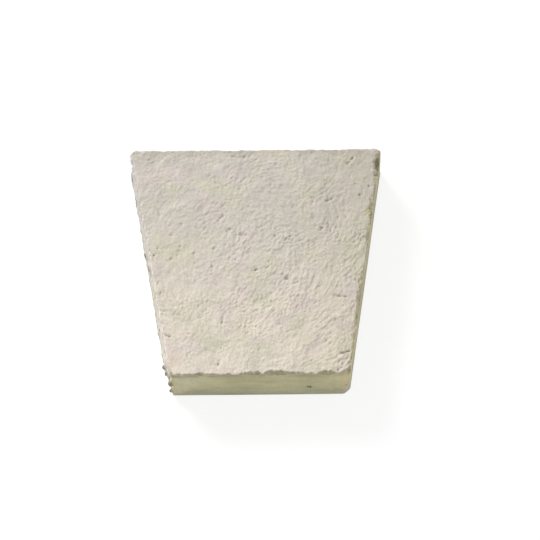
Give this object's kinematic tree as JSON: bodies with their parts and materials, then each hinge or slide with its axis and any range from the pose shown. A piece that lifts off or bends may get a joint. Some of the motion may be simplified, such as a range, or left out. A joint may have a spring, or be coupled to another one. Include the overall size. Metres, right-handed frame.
{
  "type": "manufactured stone keystone",
  "caption": "Tapered cast-stone keystone block with a rough dressed face, smooth cast sides and a flat back for bonding at the crown of an arch or over a window head.",
  "frame": {"origin": "middle of the flat back, on the floor that the block lies on", "axes": "+Z out of the dressed face, +Y towards the wide (upper) end, +X to the right as the face is seen"},
  "size_m": [0.2566, 0.245, 0.0568],
  "materials": {
    "cast_stone": "matte"
  },
  "bodies": {
    "root": {"keystone": "cast_stone"}
  },
  "joints": []
}
